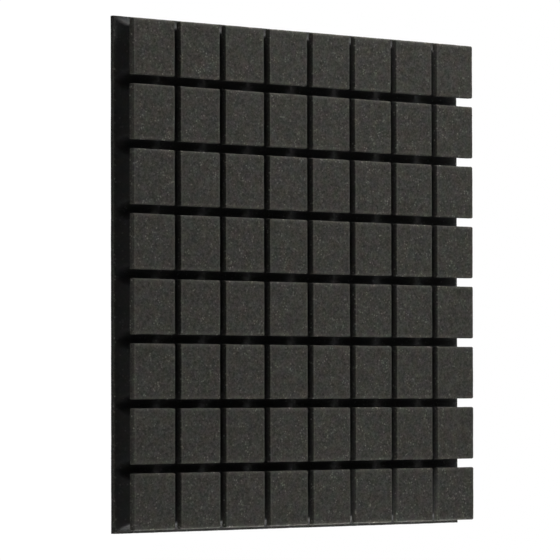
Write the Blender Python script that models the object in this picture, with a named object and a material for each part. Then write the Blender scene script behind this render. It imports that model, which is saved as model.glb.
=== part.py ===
"""Acoustic foam tile: rows of square blocks on a thin rear sheet, with undercut slots both ways.

Run with: blender --background --python part.py

Units are metres and +Z is up. The tile hangs upright: its rear face lies on Y = 0 against the
wall, the blocks face -Y, and the origin is the middle of the rear face.
"""

import math

import bmesh
import bpy
from mathutils import Matrix, Vector

COLLECTION_NAME = "acoustic_panel"

# The whole tile, which its slots divide evenly into blocks
TILE_WIDTH = 0.600
TILE_HEIGHT = 0.600
BLOCKS_PER_ROW = 8
ROW_COUNT = 8

# The slots between the blocks, the same across and up the tile
MOUTH_WIDTH = 0.0095       # slot width between two neighbouring front faces
LIP_DEPTH = 0.0074         # straight edge of a block, from its front face back to the undercut
UNDERCUT = 0.00675         # how far the slot widens behind a lip, on each side
CAVITY_DEPTH = 0.0221      # back of the lip to the bottom of the slot

# Foam behind the slots
WEB_THICKNESS = 0.0022     # part of each row that joins its blocks behind the slots
SHEET_THICKNESS = 0.0030   # rear sheet that carries all rows

CLEARANCE = 0.0003         # between pieces that lie against each other

ARC_STEPS = 8              # straight steps in a quarter of a slot's rounded bottom
CUTTER_REACH = 0.010       # how far a cutting shape runs past the foam that it trims

# Worked out from the sizes above
BLOCK_PITCH = TILE_WIDTH / BLOCKS_PER_ROW
ROW_PITCH = TILE_HEIGHT / ROW_COUNT
CAVITY_HALF_WIDTH = MOUTH_WIDTH / 2 + UNDERCUT
SLOT_DEPTH = LIP_DEPTH + CAVITY_DEPTH
ROW_BACK = -(SHEET_THICKNESS + CLEARANCE)
TILE_FRONT = ROW_BACK - WEB_THICKNESS - SLOT_DEPTH

# Colour (linear), roughness and metallic value of each sub-part's foam
ROW_FOAM = ((0.046, 0.045, 0.041), 0.95, 0.0)
SHEET_FOAM = ((0.040, 0.039, 0.036), 0.95, 0.0)


def clear_scene():
    """Remove every object that the startup file put in the scene."""
    for obj in list(bpy.data.objects):
        bpy.data.objects.remove(obj, do_unlink=True)


def make_collection(name):
    """Return a new collection linked to the scene."""
    collection = bpy.data.collections.new(name)
    bpy.context.scene.collection.children.link(collection)
    return collection


def make_material(name, foam):
    """Return a Principled material from (colour, roughness, metallic)."""
    colour, roughness, metallic = foam
    material = bpy.data.materials.new(name)
    material.use_nodes = True
    shader = material.node_tree.nodes["Principled BSDF"]
    shader.inputs["Base Color"].default_value = (*colour, 1.0)
    shader.inputs["Roughness"].default_value = roughness
    shader.inputs["Metallic"].default_value = metallic
    return material


def slot_wall(least_half_width):
    """Return one wall of a slot as (half width, depth) points, from its mouth to its bottom.

    The wall runs straight back along the lip, steps out into the cavity, and then follows a
    quarter ellipse to the middle of the slot's bottom.
    """
    points = [(MOUTH_WIDTH / 2, 0.0), (MOUTH_WIDTH / 2, LIP_DEPTH)]
    for step in range(ARC_STEPS + 1):
        angle = step / ARC_STEPS * math.pi / 2
        half_width = CAVITY_HALF_WIDTH * math.cos(angle)
        depth = LIP_DEPTH + CAVITY_DEPTH * math.sin(angle)
        points.append((max(half_width, least_half_width), depth))
    return points


def block_outline(block_count, pitch, end_gap, reach):
    """Return the outline of a line of blocks, a pitch apart, as (along, Y) points.

    end_gap is left free beyond the slot bottoms at both ends. reach carries the front faces and
    the back further out, for an outline that only trims another one.
    """
    half_length = block_count * pitch / 2
    wall = slot_wall(end_gap)
    points = [(-half_length + end_gap, ROW_BACK + reach)]
    for block in range(block_count):
        slot_before = -half_length + block * pitch
        slot_after = slot_before + pitch
        rising = [(slot_before + half, depth) for half, depth in reversed(wall)]
        falling = [(slot_after - half, depth) for half, depth in wall]
        shared_bottom = 1 if block > 0 else 0
        for along, depth in rising[shared_bottom:] + falling:
            forward = reach if depth == 0.0 else 0.0
            points.append((along, TILE_FRONT + depth - forward))
    points.append((half_length - end_gap, ROW_BACK + reach))
    return points


def extrude_outline(name, points, length, turn, collection):
    """Extrude a flat outline to both sides of its plane and return it as a closed mesh object."""
    curve = bpy.data.curves.new(name, "CURVE")
    curve.dimensions = "2D"
    curve.fill_mode = "BOTH"
    curve.extrude = length / 2
    spline = curve.splines.new("POLY")
    spline.points.add(len(points) - 1)
    for point, (along, across) in zip(spline.points, points):
        point.co = (along, across, 0.0, 1.0)
    spline.use_cyclic_u = True
    outline = bpy.data.objects.new(name + "_outline", curve)
    collection.objects.link(outline)
    outline.matrix_world = turn
    bpy.context.view_layer.update()

    evaluated = outline.evaluated_get(bpy.context.evaluated_depsgraph_get())
    mesh = bpy.data.meshes.new_from_object(evaluated)
    weld = bmesh.new()
    weld.from_mesh(mesh)
    bmesh.ops.remove_doubles(weld, verts=weld.verts, dist=1e-6)
    weld.to_mesh(mesh)
    weld.free()

    solid = bpy.data.objects.new(name, mesh)
    solid.matrix_world = turn
    collection.objects.link(solid)
    bpy.data.objects.remove(outline, do_unlink=True)
    bpy.data.curves.remove(curve)
    return solid


def make_row_mesh(collection):
    """Return the mesh of one row of blocks, centred on its own height.

    A row is what two extruded outlines have in common: the one seen from above has the upright
    slots, and the one seen from the side has half a level slot above and below the blocks.
    """
    seen_from_above = extrude_outline(
        "row_columns",
        block_outline(BLOCKS_PER_ROW, BLOCK_PITCH, 0.0, 0.0),
        ROW_PITCH + 2 * CUTTER_REACH,
        Matrix.Identity(4),
        collection,
    )
    seen_from_side = extrude_outline(
        "row_side",
        block_outline(1, ROW_PITCH, CLEARANCE / 2, CUTTER_REACH),
        TILE_WIDTH + 2 * CUTTER_REACH,
        Matrix.Rotation(math.radians(90), 4, "Y"),
        collection,
    )
    common = seen_from_above.modifiers.new("common", "BOOLEAN")
    common.operation = "INTERSECT"
    # Both outlines have the backs of the lips in one plane, and EXACT leaves holes there
    common.solver = "MANIFOLD"
    common.object = seen_from_side
    bpy.context.view_layer.update()

    evaluated = seen_from_above.evaluated_get(bpy.context.evaluated_depsgraph_get())
    mesh = bpy.data.meshes.new_from_object(evaluated)
    mesh.name = "foam_row"
    bpy.data.objects.remove(seen_from_above, do_unlink=True)
    bpy.data.objects.remove(seen_from_side, do_unlink=True)
    return mesh


def add_foam_rows(parts, cutters, parent):
    """Add the rows of blocks, numbered from the top; all of them share one mesh."""
    mesh = make_row_mesh(cutters)
    mesh.materials.clear()
    mesh.materials.append(make_material("row_foam", ROW_FOAM))
    for row in range(ROW_COUNT):
        height = TILE_HEIGHT / 2 - (row + 0.5) * ROW_PITCH
        foam_row = bpy.data.objects.new(f"foam_row_{row + 1}", mesh)
        foam_row.location = (0.0, 0.0, height)
        foam_row.parent = parent
        parts.objects.link(foam_row)


def add_rear_sheet(parts, parent):
    """Add the continuous rear sheet, whose back is the face that goes against the wall."""
    sheet = bmesh.new()
    bmesh.ops.create_cube(sheet, size=1.0)
    bmesh.ops.scale(sheet, vec=Vector((TILE_WIDTH, SHEET_THICKNESS, TILE_HEIGHT)), verts=sheet.verts)
    mesh = bpy.data.meshes.new("rear_sheet")
    sheet.to_mesh(mesh)
    sheet.free()
    mesh.materials.append(make_material("sheet_foam", SHEET_FOAM))
    rear_sheet = bpy.data.objects.new("rear_sheet", mesh)
    rear_sheet.location = (0.0, -SHEET_THICKNESS / 2, 0.0)
    rear_sheet.parent = parent
    parts.objects.link(rear_sheet)


def main():
    """Build the tile around an empty in the middle of its rear face."""
    clear_scene()
    parts = make_collection(COLLECTION_NAME)
    cutters = make_collection("cutters")
    wall_point = bpy.data.objects.new("wall_point", None)
    parts.objects.link(wall_point)
    add_rear_sheet(parts, wall_point)
    add_foam_rows(parts, cutters, wall_point)
    bpy.context.view_layer.update()
    print(f"tile {TILE_WIDTH:.4f} x {-TILE_FRONT:.4f} x {TILE_HEIGHT:.4f} m")


main()
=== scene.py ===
"""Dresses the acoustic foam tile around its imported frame.

The tile is cut foam: eight rows of square blocks with undercut slots both ways, on a rear sheet.
Each row and the sheet are modelled here as soft foam in place of the plain solids of the frame.
Units are metres, +Z is up, the blocks face -Y and the rear face lies on Y = 0.
"""

from __future__ import annotations

import logging
import math
from dataclasses import dataclass, field
from enum import Enum

import bmesh
import bpy
from mathutils import Matrix, Vector


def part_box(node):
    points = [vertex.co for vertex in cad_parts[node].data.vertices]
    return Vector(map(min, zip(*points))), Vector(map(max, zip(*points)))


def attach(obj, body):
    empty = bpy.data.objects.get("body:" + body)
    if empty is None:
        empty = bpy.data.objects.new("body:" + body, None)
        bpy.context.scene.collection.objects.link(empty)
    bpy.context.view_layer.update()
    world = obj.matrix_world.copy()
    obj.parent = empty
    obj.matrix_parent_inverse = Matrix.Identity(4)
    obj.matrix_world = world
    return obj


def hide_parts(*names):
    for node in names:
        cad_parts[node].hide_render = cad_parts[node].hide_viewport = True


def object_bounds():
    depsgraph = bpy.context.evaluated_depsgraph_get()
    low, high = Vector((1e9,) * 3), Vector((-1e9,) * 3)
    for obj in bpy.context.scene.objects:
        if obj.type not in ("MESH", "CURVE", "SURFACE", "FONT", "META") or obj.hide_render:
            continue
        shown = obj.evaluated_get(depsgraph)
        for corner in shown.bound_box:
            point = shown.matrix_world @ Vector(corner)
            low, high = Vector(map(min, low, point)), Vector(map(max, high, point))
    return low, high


LOG = logging.getLogger("acoustic_panel")
ROOT_BODY = "root"
WELD = 1e-5  # points closer together than this become one
CORNER_NUDGE = 1e-4  # keeps a point on a block's corner on the side that begins there
SHARP_EDGE = math.radians(50)
NOISE_MIDDLE = 0.5  # the mean of a noise texture
NOISE_SPAN = (0.25, 0.75)  # where nearly all of its values lie
PAINTED_HIGHLIGHT = "painted_highlight"  # the foam's attribute for painted highlight, 1 on a front edge or a ridge
PAINTED_SHADE = "painted_shade"  # the foam's attribute for painted shade, 1 deep in an undercut

Colour = tuple[float, float, float]
Point = tuple[float, float, float]
Span = tuple[float, float]
Socket = bpy.types.NodeSocket
Outputs = bpy.types.bpy_prop_collection

WHITE: Colour = (1.0, 1.0, 1.0)

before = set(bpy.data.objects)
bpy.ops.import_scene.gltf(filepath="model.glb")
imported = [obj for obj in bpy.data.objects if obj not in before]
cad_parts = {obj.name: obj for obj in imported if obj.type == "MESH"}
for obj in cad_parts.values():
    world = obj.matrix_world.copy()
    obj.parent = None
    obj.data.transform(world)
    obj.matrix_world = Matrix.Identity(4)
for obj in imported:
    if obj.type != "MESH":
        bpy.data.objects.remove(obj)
CAD_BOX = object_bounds()
TOP_EDGE = (0.0, 0.0, CAD_BOX[1][2])


class Slot(Enum):
    """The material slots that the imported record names."""

    ROW = "row_foam"
    SHEET = "sheet_foam"


class NodeTree:
    """A node tree under construction, with short calls for adding and joining nodes."""

    def __init__(self, tree: bpy.types.NodeTree) -> None:
        """Wrap an existing, empty tree."""
        self.tree = tree

    def add(self, kind: str, settings: dict | None = None, **inputs: object) -> bpy.types.Node:
        """Add a node, set its properties and feed its inputs.

        Args:
            kind: The node's type, such as "ShaderNodeMath".
            settings: Properties of the node itself.
            inputs: Input names, with underscores for spaces, or numbered as i0, i1 and so on;
                each value is a constant or a socket to link from.

        Returns:
            The new node.
        """
        node = self.tree.nodes.new(kind)
        for name, value in (settings or {}).items():
            setattr(node, name, value)
        for name, value in inputs.items():
            if name[0] == "i" and name[1:].isdigit():
                socket = node.inputs[int(name[1:])]
            else:
                socket = node.inputs[name.replace("_", " ")]
            if isinstance(value, Socket):
                self.tree.links.new(value, socket)
            else:
                socket.default_value = value
        return node

    def math(self, operation: str, *values: object) -> Socket:
        """Add a Math node.

        Args:
            operation: The node's operation, such as "ADD".
            values: Its inputs in order, constants or sockets.

        Returns:
            The result's socket.
        """
        inputs = {f"i{number}": value for number, value in enumerate(values)}
        return self.add("ShaderNodeMath", {"operation": operation}, **inputs).outputs[0]

    def clamped(self, value: object) -> Socket:
        """Keep a number between 0 and 1."""
        return self.math("MINIMUM", self.math("MAXIMUM", value, 0.0), 1.0)

    def remap(self, value: object, old: Span, new: Span) -> Socket:
        """Add a clamped Map Range node.

        Args:
            value: The number to map.
            old: The span that it comes from.
            new: The span that it is mapped to.

        Returns:
            The result's socket.
        """
        node = self.add("ShaderNodeMapRange", Value=value, From_Min=old[0], From_Max=old[1])
        for name, limit in zip(("To Min", "To Max"), new):
            node.inputs[name].default_value = limit
        return node.outputs[0]

    def vector_math(self, operation: str, **inputs: object) -> Socket:
        """Add a Vector Math node and return its vector output."""
        return self.add("ShaderNodeVectorMath", {"operation": operation}, **inputs).outputs[0]

    def length(self, vector: Socket) -> Socket:
        """Measure a vector."""
        return self.add("ShaderNodeVectorMath", {"operation": "LENGTH"}, i0=vector).outputs["Value"]

    def combine(self, **parts: object) -> Socket:
        """Make a vector from X, Y and Z, of which any may be left at 0."""
        return self.add("ShaderNodeCombineXYZ", **parts).outputs[0]

    def split(self, vector: Socket) -> Outputs:
        """Return the X, Y and Z of a vector."""
        return self.add("ShaderNodeSeparateXYZ", Vector=vector).outputs


@dataclass(frozen=True)
class FoamFinish:
    """Dull open-cell foam: a grain of close greys, painted glints of facets in loose patches, a mottle,
    painted highlights on the edges and painted shade in the undercuts.

    Sizes are in metres, colours are linear and tones are multiples of the colour.
    """

    name: str
    colour: Colour = (0.0458, 0.0447, 0.0390)
    # painted shade: the darker, cooler colour given to the foam in the undercuts
    painted_shade_colour: Colour = (0.0275, 0.0275, 0.0268)
    cell_size: float = 0.0022
    cell_stretch: float = 1.2  # how much longer a cell is across the tile than up
    cell_tones: Span = (0.77, 1.17)
    worm_size: float = 0.0026
    wave_bend: float = 0.8
    worm_tones: Span = (0.65, 1.31)
    facet_spacing: float = 0.0028
    facet_share: float = 0.38  # share of the dots that get a painted glint
    facet_radius: float = 0.58  # in spacings
    # tone of a painted glint at a dot's centre
    glint_tone: float = 4.6
    patch_size: float = 0.008
    patch_span: Span = (0.42, 0.68)  # noise values over which a patch fills with painted glints
    patch_levels: Span = (0.0, 1.7)
    # how much the painted highlight lightens the edges and ridges
    highlight_tone: float = 0.34
    painted_shade_calm: float = 0.75  # share of the grain's variation that the painted shade takes away
    tint: float = 0.10  # share of a random hue
    tint_size: float = 0.010
    mottle_size: float = 0.016
    mottle_tones: Span = (0.91, 1.09)
    pore_size: float = 0.0009
    pore_wall: float = 0.25  # in pore sizes
    pore_depth: float = 0.0003
    relief: float = 0.55
    roughness: float = 0.96
    specular: float = 0.08

    def material(self) -> bpy.types.Material:
        """Build the material.

        Returns:
            A procedural Principled material that reads Object coordinates.
        """
        material = bpy.data.materials.new(self.name)
        material.use_nodes = True
        nodes = NodeTree(material.node_tree)
        shader = material.node_tree.nodes["Principled BSDF"]
        shader.inputs["Roughness"].default_value = self.roughness
        shader.inputs["Specular IOR Level"].default_value = self.specular
        place = nodes.add("ShaderNodeTexCoord").outputs["Object"]
        bump = nodes.add(
            "ShaderNodeBump",
            Strength=self.relief,
            Distance=self.pore_depth,
            Height=self._pores(nodes, place),
        )
        links = material.node_tree.links
        links.new(self._colour(nodes, place), shader.inputs["Base Color"])
        links.new(bump.outputs["Normal"], shader.inputs["Normal"])
        return material

    def _colour(self, nodes: NodeTree, place: Socket) -> Socket:
        """Mix the greys of the cells, the mottle, the painted highlights on the edges and the painted
        glints of the facets.

        Painted shade: foam deep in the undercuts and on the lips of the inner slots is made darker,
        cooler and calmer.

        Args:
            nodes: The material's tree.
            place: The place on the foam.

        Returns:
            The colour.
        """
        stretch = (1 / self.cell_stretch, 1.0, 1.0)
        place = nodes.vector_math("MULTIPLY", i0=place, i1=stretch)
        cells = nodes.add("ShaderNodeTexVoronoi", Vector=place, Scale=1 / self.cell_size)
        random = nodes.add("ShaderNodeSeparateColor", Color=cells.outputs["Color"]).outputs
        tone = nodes.remap(random["Red"], (0.0, 1.0), self.cell_tones)
        tone = nodes.math("MULTIPLY", tone, self._waves(nodes, place, self.worm_size, self.worm_tones))
        tone = nodes.math("MULTIPLY", tone, self._waves(nodes, place, self.mottle_size, self.mottle_tones))
        # Painted highlight: the front edges and the ridges are lightened
        painted_highlight = nodes.add("ShaderNodeAttribute", {"attribute_name": PAINTED_HIGHLIGHT}).outputs["Fac"]
        highlighted = nodes.math("MULTIPLY_ADD", painted_highlight, self.highlight_tone, tone)
        # Painted glints are added to the tone
        grey = nodes.math("ADD", self._painted_glints(nodes, place), highlighted)
        # Painted shade: the foam in the undercuts and on the inner lips is darkened, cooled and calmed
        painted_shade = nodes.add("ShaderNodeAttribute", {"attribute_name": PAINTED_SHADE}).outputs["Fac"]
        lively = nodes.remap(painted_shade, (0.0, 1.0), (1.0, 1.0 - self.painted_shade_calm))
        grey = nodes.math("MULTIPLY_ADD", nodes.math("SUBTRACT", grey, 1.0), lively, 1.0)
        colour_and_painted_shade = self._mixed(nodes, painted_shade, self.colour, self.painted_shade_colour)
        blotches = nodes.add("ShaderNodeTexNoise", Vector=place, Scale=1 / self.tint_size, Detail=0.0)
        hue = nodes.vector_math("SCALE", i0=blotches.outputs["Color"], Scale=1 / NOISE_MIDDLE)
        tint = self._mixed(nodes, self.tint, WHITE, hue)
        base = nodes.vector_math("SCALE", i0=colour_and_painted_shade, Scale=grey)
        return nodes.vector_math("MULTIPLY", i0=base, i1=tint)

    def _waves(self, nodes: NodeTree, place: Socket, size: float, tones: Span) -> Socket:
        """Vary the tone in bent waves.

        Args:
            nodes: The material's tree.
            place: The place on the foam.
            size: The waves' size.
            tones: The darkest and the lightest tone.

        Returns:
            The tone.
        """
        noise = nodes.add(
            "ShaderNodeTexNoise", Vector=place, Scale=1 / size, Detail=1.0, Distortion=self.wave_bend
        )
        return nodes.remap(noise.outputs["Fac"], NOISE_SPAN, tones)

    @staticmethod
    def _mixed(nodes: NodeTree, share: object, first: object, second: object) -> Socket:
        """Mix two colours.

        Args:
            nodes: The material's tree.
            share: The second colour's share.
            first: The first colour, a socket or three linear numbers.
            second: The second colour, a socket or three linear numbers.

        Returns:
            The mixed colour.
        """
        ends = [(*end, 1.0) if isinstance(end, tuple) else end for end in (first, second)]
        mix = nodes.add("ShaderNodeMix", {"data_type": "RGBA"}, i0=share, i6=ends[0], i7=ends[1])
        return mix.outputs[2]

    def _painted_glints(self, nodes: NodeTree, place: Socket) -> Socket:
        """Scatter painted glints: small bright dots in loose patches, where a cell's wall faces out.

        Args:
            nodes: The material's tree.
            place: The place on the foam.

        Returns:
            What the painted glints add to the tone.
        """
        dots = nodes.add("ShaderNodeTexVoronoi", Vector=place, Scale=1 / self.facet_spacing)
        random = nodes.add("ShaderNodeSeparateColor", Color=dots.outputs["Color"]).outputs
        level = nodes.remap(random["Green"], (1 - self.facet_share, 1.0), (0.0, self.glint_tone))
        centre = nodes.remap(dots.outputs["Distance"], (0.0, self.facet_radius), (1.0, 0.0))
        noise = nodes.add("ShaderNodeTexNoise", Vector=place, Scale=1 / self.patch_size, Detail=1.0)
        patch = nodes.remap(noise.outputs["Fac"], self.patch_span, self.patch_levels)
        return nodes.math("MULTIPLY", nodes.math("MULTIPLY", level, centre), patch)

    def _pores(self, nodes: NodeTree, place: Socket) -> Socket:
        """Sink the pores and leave the struts between them standing.

        Args:
            nodes: The material's tree.
            place: The place on the foam.

        Returns:
            The height, from 0 in a pore to 1 on a strut.
        """
        pores = nodes.add(
            "ShaderNodeTexVoronoi",
            {"feature": "DISTANCE_TO_EDGE"},
            Vector=place,
            Scale=1 / self.pore_size,
        )
        return nodes.remap(pores.outputs["Distance"], (0.0, self.pore_wall), (1.0, 0.0))


def quarter_turn(steps: int) -> list[float]:
    """Divide a quarter turn evenly, and return the angles from 0 to a right angle."""
    return [step / steps * math.pi / 2 for step in range(steps + 1)]


@dataclass(frozen=True)
class SlotShape:
    """The cross-section of the slots between blocks, with the soft edges that cutting leaves.

    The level slots have a slightly wider mouth and rounder edges than the upright ones.
    """

    upright_mouth: float = 0.0101
    level_mouth: float = 0.0106
    cavity_width: float = 0.0230
    lip_depth: float = 0.0074
    cavity_depth: float = 0.0221
    level_round: float = 0.0020
    upright_round: float = 0.0007
    back_round: float = 0.0006
    round_steps: int = 5
    lip_steps: int = 4
    flat_steps: int = 4
    cavity_steps: int = 14

    def wall(self, front: float) -> list[Point]:
        """Trace one wall of a slot from the block's front face to the slot's bottom.

        Args:
            front: The Y of the blocks' front faces.

        Returns:
            Points (half an upright slot's width, Y, half a level slot's width).
        """
        upright_wall = self._outline(self.upright_mouth / 2, self.upright_round)
        level_wall = self._outline(self.level_mouth / 2, self.level_round)
        pairs = zip(upright_wall, level_wall)
        return [(upright, front + depth, level) for (upright, depth), (level, _) in pairs]

    def _outline(self, half_mouth: float, front_round: float) -> list[Span]:
        """Trace one wall of one slot; every slot gets its points at the same depths.

        Args:
            half_mouth: Half the width between the lips.
            front_round: How round the edge at the front face is.

        Returns:
            Points (half the slot's width, depth behind the front face).
        """
        points = []
        for turn in quarter_turn(self.round_steps):
            depth = self.level_round * (1 - math.cos(turn))
            points.append((half_mouth + self._rounding(front_round, depth), depth))
        lip_length = self.lip_depth - self.back_round - self.level_round
        for step in range(1, self.lip_steps):
            points.append((half_mouth, self.level_round + lip_length * step / self.lip_steps))
        for turn in quarter_turn(self.round_steps):
            across = half_mouth + self.back_round * (1 - math.cos(turn))
            points.append((across, self.lip_depth - self.back_round * (1 - math.sin(turn))))
        half_cavity = self.cavity_width / 2
        flat_start = half_mouth + self.back_round
        for step in range(1, self.flat_steps):
            across = flat_start + (half_cavity - flat_start) * step / self.flat_steps
            points.append((across, self.lip_depth))
        for turn in quarter_turn(self.cavity_steps):
            depth = self.lip_depth + self.cavity_depth * math.sin(turn)
            points.append((half_cavity * math.cos(turn), depth))
        return points

    @staticmethod
    def _rounding(radius: float, depth: float) -> float:
        """Return how far a rounded edge is set back at some depth behind the front face."""
        left = max(radius - depth, 0.0)
        return radius - math.sqrt(radius**2 - left**2)


def declare_inputs(tree: bpy.types.NodeTree, inputs: dict[str, tuple[str, ...]]) -> None:
    """Declare named inputs of a Geometry Nodes tree.

    Args:
        tree: The tree.
        inputs: The inputs' names, under the kind of their sockets.
    """
    for kind, names in inputs.items():
        for name in names:
            tree.interface.new_socket(name, in_out="INPUT", socket_type=kind)


def feed_input(modifier: bpy.types.Modifier, name: str, value: object) -> None:
    """Set an input of a Geometry Nodes modifier through the identifier of its socket.

    Args:
        modifier: The modifier.
        name: The input's name in the tree.
        value: What it is set to.
    """
    for item in modifier.node_group.interface.items_tree:
        if item.item_type == "SOCKET" and item.in_out == "INPUT" and item.name == name:
            modifier[item.identifier] = value
            return
    raise KeyError(name)


@dataclass(frozen=True)
class CutWobble:
    """How far a cut foam surface strays from its plane: long waves and a fine grain."""

    wave: float = 0.00035
    wave_size: float = 0.030
    grain: float = 0.00022
    grain_size: float = 0.0026
    seed: float = 4.0
    flat_back: float = 0.0033  # foam this close to the wall stays flat
    back_fade: float = 0.003  # the unevenness sets in over this depth

    def labels(self) -> dict[str, float]:
        """Return every size of this wobble under the name of its input."""
        return {name.replace("_", " ").title(): value for name, value in vars(self).items()}

    def declare(self, tree: bpy.types.NodeTree) -> None:
        sizes = tuple(self.labels())
        declare_inputs(tree, {"NodeSocketFloat": sizes, "NodeSocketMaterial": ("Foam",)})

    def feed(self, modifier: bpy.types.Modifier, foam: bpy.types.Material) -> None:
        """Fill in the inputs that declare() made.

        Args:
            modifier: The modifier that runs the tree.
            foam: The material.
        """
        for label, value in self.labels().items():
            feed_input(modifier, label, value)
        feed_input(modifier, "Foam", foam)

    @staticmethod
    def finish(nodes: NodeTree, given: Outputs, solid: Socket) -> None:
        """Wobble a tree's surface and end the tree in Realize Instances and Set Material.

        The offset depends only on a point's place, so faces that lie against each other on two
        pieces stay together, and it dies out in Y towards the back, which stays flat.

        Args:
            nodes: The tree.
            given: The outputs of its Group Input node.
            solid: The geometry to finish.
        """
        place = nodes.add("GeometryNodeInputPosition").outputs[0]
        moves = []
        for size, depth in (("Wave Size", "Wave"), ("Grain Size", "Grain")):
            noise = nodes.add(
                "ShaderNodeTexNoise",
                {"noise_dimensions": "4D"},
                Vector=place,
                W=given["Seed"],
                Scale=nodes.math("DIVIDE", 1.0, given[size]),
                Detail=1.0,
            )
            centred = nodes.vector_math("SUBTRACT", i0=noise.outputs["Color"], i1=[NOISE_MIDDLE] * 3)
            reach = nodes.math("DIVIDE", given[depth], NOISE_MIDDLE)
            moves.append(nodes.vector_math("SCALE", i0=centred, Scale=reach))
        offset = nodes.vector_math("ADD", i0=moves[0], i1=moves[1])
        from_wall = nodes.math("MULTIPLY", nodes.split(place)["Y"], -1.0)
        past_flat = nodes.math("SUBTRACT", from_wall, given["Flat Back"])
        loose = nodes.clamped(nodes.math("DIVIDE", past_flat, given["Back Fade"]))
        offset = nodes.vector_math("MULTIPLY", i0=offset, i1=nodes.combine(X=1.0, Y=loose, Z=1.0))
        moved = nodes.add("GeometryNodeSetPosition", Geometry=solid, Offset=offset).outputs[0]
        real = nodes.add("GeometryNodeRealizeInstances", Geometry=moved).outputs[0]
        foam = nodes.add("GeometryNodeSetMaterial", Geometry=real, Material=given["Foam"])
        nodes.tree.interface.new_socket("Geometry", in_out="OUTPUT", socket_type="NodeSocketGeometry")
        nodes.add("NodeGroupOutput", i0=foam.outputs[0])


def grown_mesh(
    start: bpy.types.Mesh,
    tree: bpy.types.NodeTree,
    inputs: dict[str, object],
    wobble: CutWobble,
    foam: bpy.types.Material,
) -> bpy.types.Mesh:
    """Run a Geometry Nodes tree once and return its result as a plain mesh.

    Args:
        start: The mesh that the tree starts from.
        tree: The Geometry Nodes tree.
        inputs: Values of the tree's own inputs, by name.
        wobble: The unevenness of the foam.
        foam: The material.

    Returns:
        The finished mesh, closed, with its sharp edges marked.
    """
    carrier = bpy.data.objects.new("carrier", start)
    bpy.context.scene.collection.objects.link(carrier)
    modifier = carrier.modifiers.new("grow", "NODES")
    modifier.node_group = tree
    for label, value in inputs.items():
        feed_input(modifier, label, value)
    wobble.feed(modifier, foam)
    evaluated = carrier.evaluated_get(bpy.context.evaluated_depsgraph_get())
    mesh = bpy.data.meshes.new_from_object(evaluated)
    bpy.data.objects.remove(carrier, do_unlink=True)
    bpy.data.meshes.remove(start)
    close_shell(mesh)
    return mesh


def close_shell(mesh: bpy.types.Mesh) -> None:
    """Close a mesh's open rim, point its faces outwards and mark its sharp edges.

    Args:
        mesh: The mesh.
    """
    shell = bmesh.new()
    shell.from_mesh(mesh)
    rim = [edge for edge in shell.edges if edge.is_boundary]
    bmesh.ops.holes_fill(shell, edges=rim, sides=0)
    bmesh.ops.recalc_face_normals(shell, faces=shell.faces)
    shell.to_mesh(mesh)
    shell.free()
    mesh.shade_smooth()
    mesh.set_sharp_from_angle(angle=SHARP_EDGE)


def place_piece(name: str, mesh: bpy.types.Mesh, node: str) -> bpy.types.Object:
    """Put a finished foam piece in the scene in place of its solid.

    Args:
        name: The piece's name.
        mesh: Its mesh, with the piece's place in it.
        node: The solid of the frame that it stands for.

    Returns:
        The piece.
    """
    mesh.name = name
    piece = bpy.data.objects.new(name, mesh)
    bpy.context.scene.collection.objects.link(piece)
    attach(piece, ROOT_BODY)
    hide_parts(node)
    LOG.info("%s: %d faces", name, len(mesh.polygons))
    return piece


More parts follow.
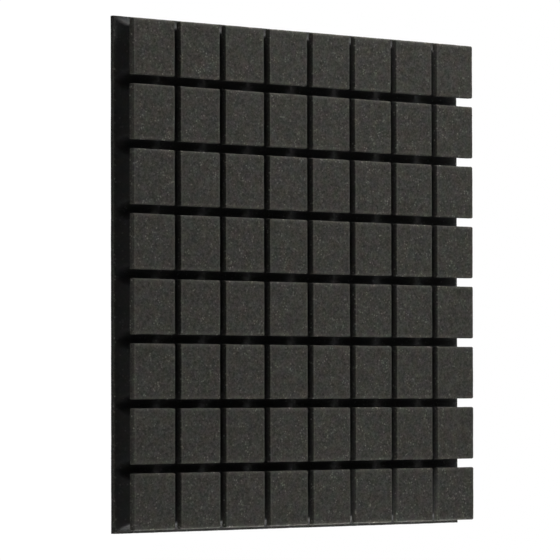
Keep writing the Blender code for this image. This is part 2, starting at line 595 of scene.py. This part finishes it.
class RowTree:
    """The Geometry Nodes tree that grows a row of blocks from one wall of its slots.

    The wall is swept round a square to make one block, which is closed by its front face. The
    block is repeated along the row, welded to its neighbours and carried back to the rear sheet.
    """

    INPUTS = {
        "NodeSocketGeometry": ("Slot Wall",),
        "NodeSocketFloat": (
            "Column Pitch",
            "Row Pitch",
            "Row Gap",
            "Row Height",
            "Front",
            "Back",
            "Top",
            "Step Crowding",
            "Corner Round",
            "Corner Fade",
            "Ridge Round",
            "Front Round",
            "Highlight Width",
            "Lip Depth",
            "Cavity Half",
            "Undercut",
            "Shelter Fade",
            "Open Relief",
            "Lip Painted Shade",
            "Inner Start",
        ),
        "NodeSocketVector": ("Tile Half Size", "Outer Reach"),
        "NodeSocketInt": ("Block Count", "Steps Per Side"),
    }

    def __init__(self, wobble: CutWobble) -> None:
        """Args:
            wobble: The unevenness of the foam, which has inputs of its own.
        """
        tree = bpy.data.node_groups.new("foam_row", "GeometryNodeTree")
        declare_inputs(tree, self.INPUTS)
        wobble.declare(tree)
        self.wobble = wobble
        self.nodes = NodeTree(tree)
        self.given = self.nodes.add("NodeGroupInput").outputs
        self.place = self.nodes.add("GeometryNodeInputPosition").outputs[0]
        self.here = self.nodes.split(self.place)

    def build(self) -> bpy.types.NodeTree:
        """Join the parts of the tree, from one block to the finished row.

        Returns:
            The Geometry Nodes tree.
        """
        webbed = self._webbed(self._repeated(self._block()))
        inwards = self._inwards()
        depth = self.nodes.math("SUBTRACT", self.here["Y"], self.given["Front"])
        deep = self._behind_lip(depth)
        trimmed = self._trimmed(self._with_outer_lips(webbed, inwards, deep))
        # Painted shade, stored on the points for the material
        painted_shade = self._painted_shade(inwards, depth, deep)
        self.wobble.finish(self.nodes, self.given, self._stored(trimmed, PAINTED_SHADE, painted_shade))
        return self.nodes.tree

    def _block(self) -> Socket:
        """Make one block round the origin.

        Returns:
            The block's front face and its four sides, welded.
        """
        joined = self.nodes.add("GeometryNodeJoinGeometry")
        for part in (self._face(), self._sides()):
            self.nodes.tree.links.new(part, joined.inputs[0])
        return self._welded(joined.outputs[0])

    def _sides(self) -> Socket:
        """Wrap a flat grid round the block, with its X along the four sides and its Y down the wall.

        Returns:
            The sides.
        """
        nodes = self.nodes
        wall_size = nodes.add("GeometryNodeAttributeDomainSize", i0=self.given["Slot Wall"]).outputs[0]
        skirt = nodes.add(
            "GeometryNodeMeshGrid",
            Size_X=1.0,
            Size_Y=1.0,
            Vertices_X=nodes.math("MULTIPLY_ADD", self.given["Steps Per Side"], 4.0, 1.0),
            Vertices_Y=wall_size,
        ).outputs[0]
        along = nodes.math("MULTIPLY_ADD", self.here["X"], 4.0, 2.0)
        side = nodes.math("MINIMUM", nodes.math("FLOOR", nodes.math("ADD", along, CORNER_NUDGE)), 3.0)
        share = nodes.math("SUBTRACT", along, side)
        turned = nodes.add(
            "ShaderNodeVectorRotate",
            {"rotation_type": "Z_AXIS"},
            Vector=nodes.combine(X=nodes.math("MULTIPLY_ADD", share, 2.0, -1.0), Y=-1.0),
            Angle=nodes.math("MULTIPLY", side, math.pi / 2),
        )
        square = nodes.split(turned.outputs[0])
        last_point = nodes.math("SUBTRACT", wall_size, 1.0)
        down = nodes.math("MULTIPLY", nodes.math("ADD", self.here["Y"], 0.5), last_point)
        return self._laid_out(skirt, nodes.math("ROUND", down), square["X"], square["Y"])

    def _face(self) -> Socket:
        """Span the block's front on the first ring of its sides.

        Returns:
            The front face.
        """
        steps = self.nodes.math("ADD", self.given["Steps Per Side"], 1.0)
        grid = self.nodes.add(
            "GeometryNodeMeshGrid", Size_X=2.0, Size_Y=2.0, Vertices_X=steps, Vertices_Y=steps
        ).outputs[0]
        return self._laid_out(grid, 0, self.here["X"], self.here["Y"])

    def _laid_out(self, grid: Socket, index: object, across: Socket, up: Socket) -> Socket:
        """Move a grid's points on to square rings and store how much painted highlight they get.

        Args:
            grid: The grid.
            index: The point of the slot's wall that each grid point's ring goes through.
            across: Each point's place on its ring in X, from -1 to 1.
            up: Each point's place on its ring in Z, from -1 to 1.

        Returns:
            The moved grid.
        """
        nodes = self.nodes
        sampled = nodes.add(
            "GeometryNodeSampleIndex",
            {"data_type": "FLOAT_VECTOR", "domain": "POINT"},
            Geometry=self.given["Slot Wall"],
            Value=self.place,
            Index=index,
        )
        wall = nodes.split(sampled.outputs[0])
        depth = nodes.math("SUBTRACT", wall["Y"], self.given["Front"])
        reach = self._ring_reach(wall["X"], wall["Z"])
        shares = nodes.combine(X=self._crowded(across), Z=self._crowded(up))
        flat = nodes.vector_math("MULTIPLY", i0=shares, i1=reach)
        ring = self._rounded(flat, reach, self._corner_radius(wall["X"], depth))
        placed = nodes.vector_math("ADD", i0=ring, i1=nodes.combine(Y=wall["Y"]))
        # Painted highlight along the front edges and the ridges
        highlighted = self._stored(grid, PAINTED_HIGHLIGHT, self._painted_highlight(flat, reach, depth))
        return nodes.add("GeometryNodeSetPosition", Geometry=highlighted, Position=placed).outputs[0]

    def _ring_reach(self, upright_half: Socket, level_half: Socket) -> Socket:
        """Work out how large a ring is from the slots beside it.

        Args:
            upright_half: Half the width of the upright slots there.
            level_half: Half the width of the level slots there.

        Returns:
            Half the ring's size in X and Z.
        """
        nodes = self.nodes
        half_column = nodes.math("DIVIDE", self.given["Column Pitch"], 2.0)
        half_row = nodes.math("DIVIDE", self.given["Row Pitch"], 2.0)
        half_gap = nodes.math("DIVIDE", self.given["Row Gap"], 2.0)
        reach_x = nodes.math("SUBTRACT", half_column, upright_half)
        reach_z = nodes.math("SUBTRACT", half_row, nodes.math("MAXIMUM", level_half, half_gap))
        return nodes.combine(X=reach_x, Z=reach_z)

    def _crowded(self, share: Socket) -> Socket:
        """Crowd even steps towards the corners, where the shape needs more of them.

        Args:
            share: A place on a ring's side, from -1 to 1.

        Returns:
            The crowded place, from -1 to 1.
        """
        inwards = self.nodes.math("SUBTRACT", 1.0, self.nodes.math("MULTIPLY", share, share))
        stretch = self.nodes.math("MULTIPLY_ADD", inwards, self.given["Step Crowding"], 1.0)
        return self.nodes.math("MULTIPLY", share, stretch)

    def _corner_radius(self, slot_half: Socket, depth: Socket) -> Socket:
        """Work out a ring's corner radius: small on the lips, larger on the undercut's ridges.

        Args:
            slot_half: Half the slot's width at the ring.
            depth: How far the ring lies behind the front faces.

        Returns:
            The radius, which fades out where the slot closes.
        """
        nodes = self.nodes
        extra = nodes.math("SUBTRACT", self.given["Ridge Round"], self.given["Corner Round"])
        full = nodes.math("MULTIPLY_ADD", extra, self._behind_lip(depth), self.given["Corner Round"])
        kept = nodes.clamped(nodes.math("DIVIDE", slot_half, self.given["Corner Fade"]))
        return nodes.math("MULTIPLY", full, kept)

    def _rounded(self, flat: Socket, reach: Socket, radius: Socket) -> Socket:
        """Round the corners of a square.

        Args:
            flat: The place on the square.
            reach: Half the square's size.
            radius: The corners' radius.

        Returns:
            The place on the rounded square.
        """
        nodes = self.nodes
        core_reach = nodes.vector_math("SUBTRACT", i0=reach, i1=nodes.combine(X=radius, Z=radius))
        low_reach = nodes.vector_math("SCALE", i0=core_reach, Scale=-1.0)
        core = nodes.vector_math("MAXIMUM", i0=flat, i1=low_reach)
        core = nodes.vector_math("MINIMUM", i0=core, i1=core_reach)
        corner = nodes.vector_math("SUBTRACT", i0=flat, i1=core)
        sizes = nodes.split(nodes.vector_math("ABSOLUTE", i0=corner))
        longest = nodes.math("MAXIMUM", sizes["X"], sizes["Z"])
        shrink = nodes.math("DIVIDE", longest, nodes.length(corner))
        return nodes.vector_math("ADD", i0=core, i1=nodes.vector_math("SCALE", i0=corner, Scale=shrink))

    def _painted_highlight(self, flat: Socket, reach: Socket, depth: Socket) -> Socket:
        """Tell a point's painted highlight by its distance from the front edge or a corner's ridge.

        Args:
            flat: The place on its ring.
            reach: Half the ring's size.
            depth: How far the ring lies behind the front faces.

        Returns:
            The painted highlight, from 1 on an edge to 0 a highlight width away.
        """
        nodes = self.nodes
        inside = nodes.split(
            nodes.vector_math("SUBTRACT", i0=reach, i1=nodes.vector_math("ABSOLUTE", i0=flat))
        )
        past_round = nodes.math("SUBTRACT", depth, self.given["Front Round"])
        to_ridge = nodes.math("MAXIMUM", inside["X"], inside["Z"])
        to_rim = nodes.math("MINIMUM", inside["X"], inside["Z"])
        to_front = nodes.math("MAXIMUM", nodes.math("MAXIMUM", past_round, 0.0), to_rim)
        distance = nodes.math("MINIMUM", to_front, to_ridge)
        near = nodes.math("DIVIDE", distance, self.given["Highlight Width"])
        return nodes.clamped(nodes.math("SUBTRACT", 1.0, near))

    def _repeated(self, block: Socket) -> Socket:
        """Repeat the block along the row and weld the bottoms of the slots in between.

        Args:
            block: The block.

        Returns:
            The row of blocks, still open at its back.
        """
        nodes = self.nodes
        steps_left = nodes.math("SUBTRACT", 1.0, self.given["Block Count"])
        half_column = nodes.math("DIVIDE", self.given["Column Pitch"], 2.0)
        first_x = nodes.math("MULTIPLY", steps_left, half_column)
        line = nodes.add(
            "GeometryNodeMeshLine",
            Count=self.given["Block Count"],
            Start_Location=nodes.combine(X=first_x, Z=self.given["Row Height"]),
            Offset=nodes.combine(X=self.given["Column Pitch"]),
        ).outputs[0]
        blocks = nodes.add("GeometryNodeInstanceOnPoints", Points=line, Instance=block).outputs[0]
        return self._welded(nodes.add("GeometryNodeRealizeInstances", Geometry=blocks).outputs[0])

    def _webbed(self, row: Socket) -> Socket:
        """Carry the row's open rim back to the rear sheet, as the web behind the slots.

        Args:
            row: The row of blocks.

        Returns:
            The row with its web.
        """
        nodes = self.nodes
        neighbours = nodes.add("GeometryNodeInputMeshEdgeNeighbors").outputs[0]
        rim = nodes.add(
            "FunctionNodeCompare", {"data_type": "INT", "operation": "EQUAL"}, i2=neighbours, i3=1
        ).outputs[0]
        return nodes.add(
            "GeometryNodeExtrudeMesh",
            {"mode": "EDGES"},
            Mesh=row,
            Selection=rim,
            Offset=nodes.combine(Y=nodes.math("SUBTRACT", self.given["Back"], self.here["Y"])),
            Offset_Scale=1.0,
        ).outputs[0]

    def _inwards(self) -> Outputs:
        """Return how far inside the tile's outline a point of the row lies, in X and in Z."""
        from_middle = self.nodes.vector_math("ABSOLUTE", i0=self.place)
        return self.nodes.split(
            self.nodes.vector_math("SUBTRACT", i0=self.given["Tile Half Size"], i1=from_middle)
        )

    def _behind_lip(self, depth: Socket) -> Socket:
        """Return 0 on a lip, rising to 1 in the undercut behind it."""
        past_lip = self.nodes.math("SUBTRACT", depth, self.given["Lip Depth"])
        return self.nodes.clamped(self.nodes.math("DIVIDE", past_lip, self.given["Shelter Fade"]))

    def _with_outer_lips(self, row: Socket, inwards: Outputs, deep: Socket) -> Socket:
        """Let the lips along the tile's outline reach out further than those of the inner slots.

        Args:
            row: The row.
            inwards: How far inside the tile's outline each point lies, in X and in Z.
            deep: 0 on the lips, and 1 in the undercuts behind them.

        Returns:
            The row with its outer lips moved.
        """
        nodes = self.nodes
        pulls = {}
        for axis in ("X", "Z"):
            near = nodes.math("SUBTRACT", self.given["Cavity Half"], inwards[axis])
            pulls[axis] = nodes.clamped(nodes.math("DIVIDE", near, self.given["Undercut"]))
        pull = nodes.vector_math("MULTIPLY", i0=nodes.combine(**pulls), i1=self.given["Outer Reach"])
        outwards = nodes.vector_math("MULTIPLY", i0=pull, i1=nodes.vector_math("SIGN", i0=self.place))
        offset = nodes.vector_math("SCALE", i0=outwards, Scale=nodes.math("SUBTRACT", 1.0, deep))
        return nodes.add("GeometryNodeSetPosition", Geometry=row, Offset=offset).outputs[0]

    def _trimmed(self, row: Socket) -> Socket:
        """Trim the tile's top edge flat.

        Args:
            row: The row.

        Returns:
            The row, of which nothing stands above the top.
        """
        height = self.nodes.math("MINIMUM", self.here["Z"], self.given["Top"])
        place = self.nodes.combine(X=self.here["X"], Y=self.here["Y"], Z=height)
        return self.nodes.add("GeometryNodeSetPosition", Geometry=row, Position=place).outputs[0]

    def _painted_shade(self, inwards: Outputs, depth: Socket, deep: Socket) -> Socket:
        """Tell how much painted shade a point gets.

        It gets full painted shade in an undercut, some on the lips of the inner slots, and less along
        the tile's outline.

        Args:
            inwards: How far inside the tile's outline the point lies, in X and in Z.
            depth: How far it lies behind the front faces.
            deep: 0 on the lips, and 1 in the undercuts behind them.

        Returns:
            The painted shade, from 0 to 1.
        """
        nodes = self.nodes
        from_side = nodes.math("MINIMUM", inwards["X"], inwards["Z"])
        outer = nodes.clamped(nodes.math("DIVIDE", from_side, self.given["Shelter Fade"]))
        cover = nodes.math("MULTIPLY", nodes.math("SUBTRACT", outer, 1.0), self.given["Open Relief"])
        past_start = nodes.math("SUBTRACT", from_side, self.given["Inner Start"])
        inner = nodes.clamped(nodes.math("DIVIDE", past_start, self.given["Inner Start"]))
        on_lip = nodes.clamped(nodes.math("DIVIDE", depth, self.given["Lip Depth"]))
        lip = nodes.math("MULTIPLY", nodes.math("MULTIPLY", on_lip, inner), self.given["Lip Painted Shade"])
        return nodes.math("MULTIPLY", nodes.math("MAXIMUM", deep, lip), nodes.math("ADD", cover, 1.0))

    def _stored(self, shape: Socket, name: str, value: Socket) -> Socket:
        """Store a number on each point for the material to read.

        Args:
            shape: The geometry.
            name: The name that the material reads it by.
            value: The number.

        Returns:
            The geometry with the number stored.
        """
        return self.nodes.add(
            "GeometryNodeStoreNamedAttribute",
            {"data_type": "FLOAT", "domain": "POINT"},
            Geometry=shape,
            Name=name,
            Value=value,
        ).outputs[0]

    def _welded(self, shape: Socket) -> Socket:
        """Weld the points that meet."""
        return self.nodes.add("GeometryNodeMergeByDistance", Geometry=shape, Distance=WELD).outputs[0]


@dataclass
class FoamRows:
    """The rows of blocks. Each row is cut from one strip of foam."""

    finish: FoamFinish = FoamFinish("cut_foam_rows")
    slot_shape: SlotShape = SlotShape()
    wobble: CutWobble = CutWobble()
    row_count: int = 8
    blocks_per_row: int = 8
    steps_per_side: int = 48
    step_crowding: float = 0.40  # 0 would leave the steps along a block's side even
    corner_round: float = 0.0009
    ridge_round: float = 0.0035
    top_trim: float = 0.00075  # how far the top edge lies below the frame's
    # width of the painted highlight along the edges
    highlight_width: float = 0.0025
    shelter_fade: float = 0.0030  # depth over which an undercut's painted shade and shape set in
    open_relief: float = 0.80  # share of the painted shade that is taken away along the tile's outline
    lip_painted_shade: float = 0.90  # painted shade at the back of an inner slot's lip
    inner_start: float = 0.010  # how far inside the outline the inner slots' lips begin
    outer_reach: Point = (0.0018, 0.0, 0.0011)  # how much further out the outline's lips reach
    row_gap: float = 0.0001
    sheet_gap: float = 0.0001

    def build(self, sheet_front: float) -> list[bpy.types.Object]:
        """Build the rows from the top down.

        Args:
            sheet_front: The Y of the front of the rear sheet, on which the rows lie.

        Returns:
            The rows.
        """
        foam = self.finish.material()
        tree = RowTree(self.wobble).build()
        pieces = []
        for number in range(1, self.row_count + 1):
            node = f"foam_row_{number}"
            low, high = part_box(node)
            inputs = self._shared_inputs() | {
                "Row Height": (low[2] + high[2]) / 2,
                "Front": low[1],
                "Back": sheet_front - self.sheet_gap,
            }
            mesh = grown_mesh(self._wall_mesh(low[1]), tree, inputs, self.wobble, foam)
            pieces.append(place_piece(f"cut_foam_row_{number}", mesh, node))
        return pieces

    def _shared_inputs(self) -> dict[str, object]:
        """Gather the tree's inputs that are the same for every row.

        Returns:
            The inputs' values, by name.
        """
        slots = self.slot_shape
        width = CAD_BOX[1][0] - CAD_BOX[0][0]
        height = CAD_BOX[1][2] - CAD_BOX[0][2]
        return {
            "Block Count": self.blocks_per_row,
            "Steps Per Side": self.steps_per_side,
            "Tile Half Size": (width / 2, 0.0, height / 2),
            "Outer Reach": self.outer_reach,
            "Column Pitch": width / self.blocks_per_row,
            "Row Pitch": height / self.row_count,
            "Row Gap": self.row_gap,
            "Top": height / 2 - self.top_trim,
            "Step Crowding": self.step_crowding,
            "Corner Round": self.corner_round,
            "Corner Fade": slots.upright_mouth / 2,
            "Ridge Round": self.ridge_round,
            "Front Round": slots.level_round,
            "Highlight Width": self.highlight_width,
            "Lip Depth": slots.lip_depth,
            "Cavity Half": slots.cavity_width / 2,
            "Undercut": (slots.cavity_width - slots.level_mouth) / 2,
            "Shelter Fade": self.shelter_fade,
            "Open Relief": self.open_relief,
            "Lip Painted Shade": self.lip_painted_shade,
            "Inner Start": self.inner_start,
        }

    def _wall_mesh(self, front: float) -> bpy.types.Mesh:
        """Make the slot's wall into loose points for the tree to read.

        Args:
            front: The Y of the blocks' front faces.

        Returns:
            A mesh of points only.
        """
        mesh = bpy.data.meshes.new("slot_wall")
        mesh.from_pydata(self.slot_shape.wall(front), [], [])
        return mesh


@dataclass
class RearSheet:
    """The continuous sheet behind the rows, whose sawn back goes against the wall."""

    INPUTS = {
        "NodeSocketGeometry": ("Start",),
        "NodeSocketVector": ("Size", "Centre"),
        "NodeSocketInt": ("Edge Steps", "Depth Steps"),
    }

    # The sheet's foam is darker than the rows' foam, with fainter painted glints and no painted shade.
    finish: FoamFinish = FoamFinish(
        "sawn_foam_sheet",
        colour=(0.034, 0.0337, 0.0325),
        painted_shade_colour=(0.034, 0.0337, 0.0325),
        glint_tone=1.3,
    )
    wobble: CutWobble = CutWobble()
    edge_steps: int = 144
    depth_steps: int = 2
    top_trim: float = FoamRows.top_trim

    def build(self) -> bpy.types.Object:
        """Build the sheet.

        Returns:
            The sheet.
        """
        low, high = (Vector(corner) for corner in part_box("rear_sheet"))
        high.z -= self.top_trim
        inputs = {
            "Size": high - low,
            "Centre": (low + high) / 2,
            "Edge Steps": self.edge_steps,
            "Depth Steps": self.depth_steps,
        }
        start = bpy.data.meshes.new("sheet_start")
        mesh = grown_mesh(start, self._tree(), inputs, self.wobble, self.finish.material())
        return place_piece("cut_foam_sheet", mesh, "rear_sheet")

    def _tree(self) -> bpy.types.NodeTree:
        """Build the tree that makes a finely divided board.

        Returns:
            The Geometry Nodes tree.
        """
        tree = bpy.data.node_groups.new("foam_sheet", "GeometryNodeTree")
        declare_inputs(tree, self.INPUTS)
        self.wobble.declare(tree)
        nodes = NodeTree(tree)
        given = nodes.add("NodeGroupInput").outputs
        across = nodes.math("ADD", given["Edge Steps"], 1.0)
        board = nodes.add(
            "GeometryNodeMeshCube",
            Size=given["Size"],
            Vertices_X=across,
            Vertices_Y=nodes.math("ADD", given["Depth Steps"], 1.0),
            Vertices_Z=across,
        ).outputs[0]
        placed = nodes.add("GeometryNodeSetPosition", Geometry=board, Offset=given["Centre"])
        self.wobble.finish(nodes, given, placed.outputs[0])
        return tree


@dataclass(frozen=True)
class Softbox:
    """A soft rectangular light that faces the tile. The camera doesn't see it."""

    name: str
    place: Point
    width: float
    height: float
    level: float
    aim: Point = (0.0, 0.0, 0.0)

    def build(self) -> bpy.types.Object:
        """Build the light.

        Its power is worked out so that a surface at the aim that faces it gets the level, where
        1 shows a colour as it is written.

        Returns:
            The light.
        """
        towards = Vector(self.aim) - Vector(self.place)
        lamp = bpy.data.lights.new(self.name, "AREA")
        lamp.shape = "RECTANGLE"
        lamp.size = self.width
        lamp.size_y = self.height
        lamp.energy = self.level * math.pi**2 * towards.length_squared
        light = bpy.data.objects.new(self.name, lamp)
        turn = towards.to_track_quat("-Z", "Y").to_matrix().to_4x4()
        light.matrix_world = Matrix.Translation(self.place) @ turn
        light.visible_camera = False
        bpy.context.scene.collection.objects.link(light)
        return light


@dataclass
class Studio:
    """A pale floor, a white surround and soft lights, most of them overhead."""

    back_ambient: float = 1.99
    floor_height: float = -0.85
    floor_radius: float = 10.0
    floor_colour: Colour = (0.80, 0.80, 0.80)
    floor_roughness: float = 0.9
    floor_fade: Span = (1.2, 4.5)  # radii between which the floor turns white
    floor_sides: int = 96
    lights: list[Softbox] = field(
        default_factory=lambda: [
            Softbox("overhead", (0.10, 0.15, 1.7), 0.5, 0.5, 1.45, aim=TOP_EDGE),
            Softbox("overhead_right", (0.70, -0.45, 1.7), 0.5, 0.5, 0.49, aim=TOP_EDGE),
            Softbox("high_key", (0.10, -0.45, 1.7), 0.5, 0.5, 0.54, aim=TOP_EDGE),
            Softbox("high_front", (0.20, -1.10, 1.6), 0.5, 0.6, 0.44),
            Softbox("right_fill", (1.10, -1.10, 0.4), 0.8, 1.0, 0.10),
            Softbox("right_side", (2.40, 0.00, 0.3), 0.8, 1.2, 0.28),
            Softbox("floor_rim", (0.10, 0.10, -0.8), 0.3, 0.3, 3.65, aim=(0.10, 0.10, -0.3)),
            Softbox("floor_front", (0.10, -0.25, -0.8), 0.9, 0.2, 0.66, aim=(0.10, -0.25, -0.3)),
        ]
    )

    def build(self) -> None:
        """Build the surround, the floor and the lights."""
        self._surround()
        self._floor()
        for softbox in self.lights:
            softbox.build()

    def _surround(self) -> None:
        """Light softly from behind, and show white to camera, mirror and glass rays."""
        world = bpy.data.worlds.new("studio_surround")
        world.use_nodes = True
        bpy.context.scene.world = world
        nodes = NodeTree(world.node_tree)
        background = world.node_tree.nodes["Background"]
        background.inputs["Color"].default_value = (*WHITE, 1.0)
        direction = nodes.add("ShaderNodeTexCoord").outputs["Generated"]
        backwards = nodes.math("MAXIMUM", nodes.split(direction)["Y"], 0.0)
        ambient = nodes.math("MULTIPLY", nodes.math("POWER", backwards, 2.0), self.back_ambient)
        level = nodes.math("MAXIMUM", ambient, self._plain_view(nodes))
        world.node_tree.links.new(level, background.inputs["Strength"])

    def _floor(self) -> None:
        """Add a pale disc below the tile that fades into the white surround."""
        disc = bmesh.new()
        bmesh.ops.create_circle(disc, cap_ends=True, segments=self.floor_sides, radius=self.floor_radius)
        bmesh.ops.translate(disc, vec=(0.0, 0.0, self.floor_height), verts=disc.verts)
        mesh = bpy.data.meshes.new("studio_floor")
        disc.to_mesh(mesh)
        disc.free()
        mesh.materials.append(self._floor_material())
        floor = bpy.data.objects.new("studio_floor", mesh)
        bpy.context.scene.collection.objects.link(floor)

    def _floor_material(self) -> bpy.types.Material:
        """Make the floor pale near the tile and plain white further out.

        Returns:
            The material.
        """
        material = bpy.data.materials.new("pale_floor")
        material.use_nodes = True
        tree = material.node_tree
        nodes = NodeTree(tree)
        shader = tree.nodes["Principled BSDF"]
        shader.inputs["Base Color"].default_value = (*self.floor_colour, 1.0)
        shader.inputs["Roughness"].default_value = self.floor_roughness
        place = nodes.add("ShaderNodeTexCoord").outputs["Object"]
        flat = nodes.vector_math("MULTIPLY", i0=place, i1=(1.0, 1.0, 0.0))
        far = nodes.remap(nodes.length(flat), self.floor_fade, (0.0, 1.0))
        white = nodes.add("ShaderNodeEmission", Color=(*WHITE, 1.0), Strength=1.0)
        mixed = nodes.add(
            "ShaderNodeMixShader",
            i0=nodes.math("MULTIPLY", far, self._plain_view(nodes)),
            i1=shader.outputs[0],
            i2=white.outputs[0],
        )
        tree.links.new(mixed.outputs[0], tree.nodes["Material Output"].inputs["Surface"])
        return material

    @staticmethod
    def _plain_view(nodes: NodeTree) -> Socket:
        """Tell the rays that show the surround from those that light the tile.

        Args:
            nodes: The tree to add the nodes to.

        Returns:
            1 for camera, glossy and transmission rays, and 0 for others.
        """
        path = nodes.add("ShaderNodeLightPath").outputs
        seen = nodes.math("MAXIMUM", path["Is Camera Ray"], path["Is Glossy Ray"])
        return nodes.math("MAXIMUM", seen, path["Is Transmission Ray"])


@dataclass(frozen=True)
class PhotoCamera:
    """The camera at the photograph's viewing angle."""

    place: Point = (-3.823, -3.620, -0.142)
    turn: float = math.radians(46.440)
    rise: float = math.radians(1.53)
    roll: float = math.radians(-0.117)
    lens: float = 280.8
    sensor: float = 36.0
    far_clip: float = 100.0

    def build(self) -> bpy.types.Object:
        """Build the camera and make it the scene's camera.

        Returns:
            The camera.
        """
        lens = bpy.data.cameras.new("photo_camera")
        lens.lens = self.lens
        lens.sensor_width = self.sensor
        lens.clip_end = self.far_clip
        camera = bpy.data.objects.new("photo_camera", lens)
        heading = Matrix.Rotation(-self.turn, 4, "Z")
        tilt = Matrix.Rotation(math.pi / 2 + self.rise, 4, "X")
        lean = Matrix.Rotation(self.roll, 4, "Z")
        camera.matrix_world = Matrix.Translation(self.place) @ heading @ tilt @ lean
        bpy.context.scene.collection.objects.link(camera)
        bpy.context.scene.camera = camera
        return camera


def main() -> None:
    """Build the foam, the studio and the camera."""
    logging.basicConfig(level=logging.INFO, format="%(message)s")
    bpy.context.scene.view_settings.view_transform = "Standard"
    sheet_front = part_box("rear_sheet")[0][1]
    FoamRows().build(sheet_front)
    RearSheet().build()
    Studio().build()
    PhotoCamera().build()


if __name__ == "__main__":
    main()
